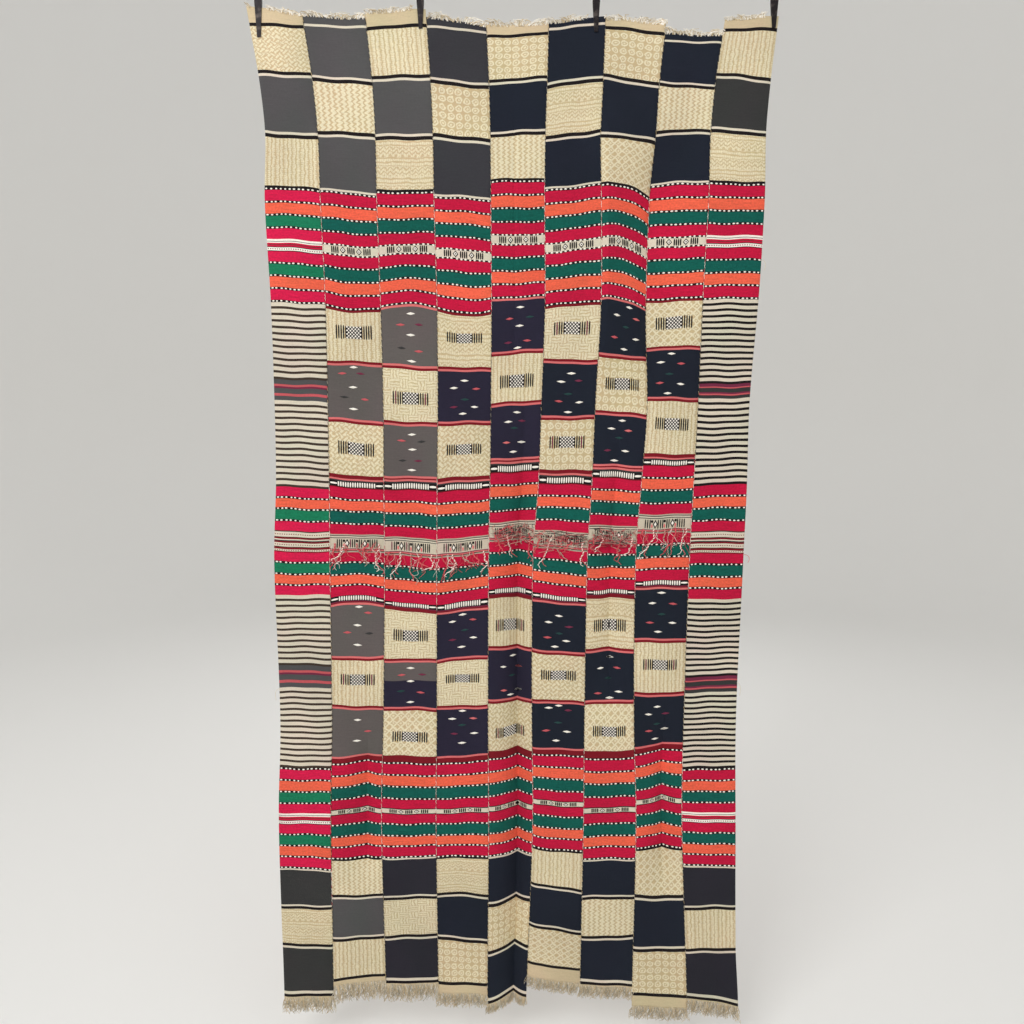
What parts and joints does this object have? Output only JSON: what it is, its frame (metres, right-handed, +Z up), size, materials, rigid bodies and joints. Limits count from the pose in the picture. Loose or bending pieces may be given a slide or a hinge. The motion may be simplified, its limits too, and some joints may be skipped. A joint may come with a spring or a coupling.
{
  "type": "strip-woven hanging cloth on clips",
  "caption": "Large hanging cloth of narrow woven strips sewn edge to edge, with block and band patterns, cut yarn ends and a short fringe, held up by flat clips.",
  "frame": {"origin": "midway between the outer clips, in the middle plane of the clip straps, level with their tops", "axes": "+X to the viewer's right across the strips, +Y away from the viewer through the cloth, +Z up"},
  "size_m": [1.3057, 0.0598, 2.7191],
  "materials": {
    "greyed_cloth": "matte woven, faded",
    "navy_cloth": "matte woven",
    "cream_threads": "matte loose threads",
    "red_yarn": "matte twisted yarn",
    "clip_metal": "dark satin"
  },
  "bodies": {
    "root": {"strip_1": "greyed_cloth", "fringe_1": "cream_threads", "frayed_top_1": "cream_threads", "strip_2": "greyed_cloth", "fringe_2": "cream_threads", "frayed_top_2": "cream_threads", "strip_3": "greyed_cloth", "fringe_3": "cream_threads", "frayed_top_3": "cream_threads", "strip_4": "navy_cloth", "fringe_4": "cream_threads", "frayed_top_4": "cream_threads", "strip_5": "navy_cloth", "fringe_5": "cream_threads", "frayed_top_5": "cream_threads", "strip_6": "navy_cloth", "fringe_6": "cream_threads", "frayed_top_6": "cream_threads", "strip_7": "navy_cloth", "fringe_7": "cream_threads", "frayed_top_7": "cream_threads", "strip_8": "navy_cloth", "fringe_8": "cream_threads", "frayed_top_8": "cream_threads", "strip_9": "greyed_cloth", "fringe_9": "cream_threads", "frayed_top_9": "cream_threads", "yarn_ends_2": "red_yarn", "yarn_ends_3": "red_yarn", "yarn_ends_4": "red_yarn", "yarn_ends_5": "red_yarn", "yarn_ends_6": "red_yarn", "yarn_ends_7": "red_yarn", "yarn_ends_8": "red_yarn", "clip_1_strap": "clip_metal", "clip_1_front_jaw": "clip_metal", "clip_1_back_jaw": "clip_metal", "clip_1_rivet": "clip_metal", "clip_2_strap": "clip_metal", "clip_2_front_jaw": "clip_metal", "clip_2_back_jaw": "clip_metal", "clip_2_rivet": "clip_metal", "clip_3_strap": "clip_metal", "clip_3_front_jaw": "clip_metal", "clip_3_back_jaw": "clip_metal", "clip_3_rivet": "clip_metal", "clip_4_strap": "clip_metal", "clip_4_front_jaw": "clip_metal", "clip_4_back_jaw": "clip_metal", "clip_4_rivet": "clip_metal"}
  },
  "joints": []
}
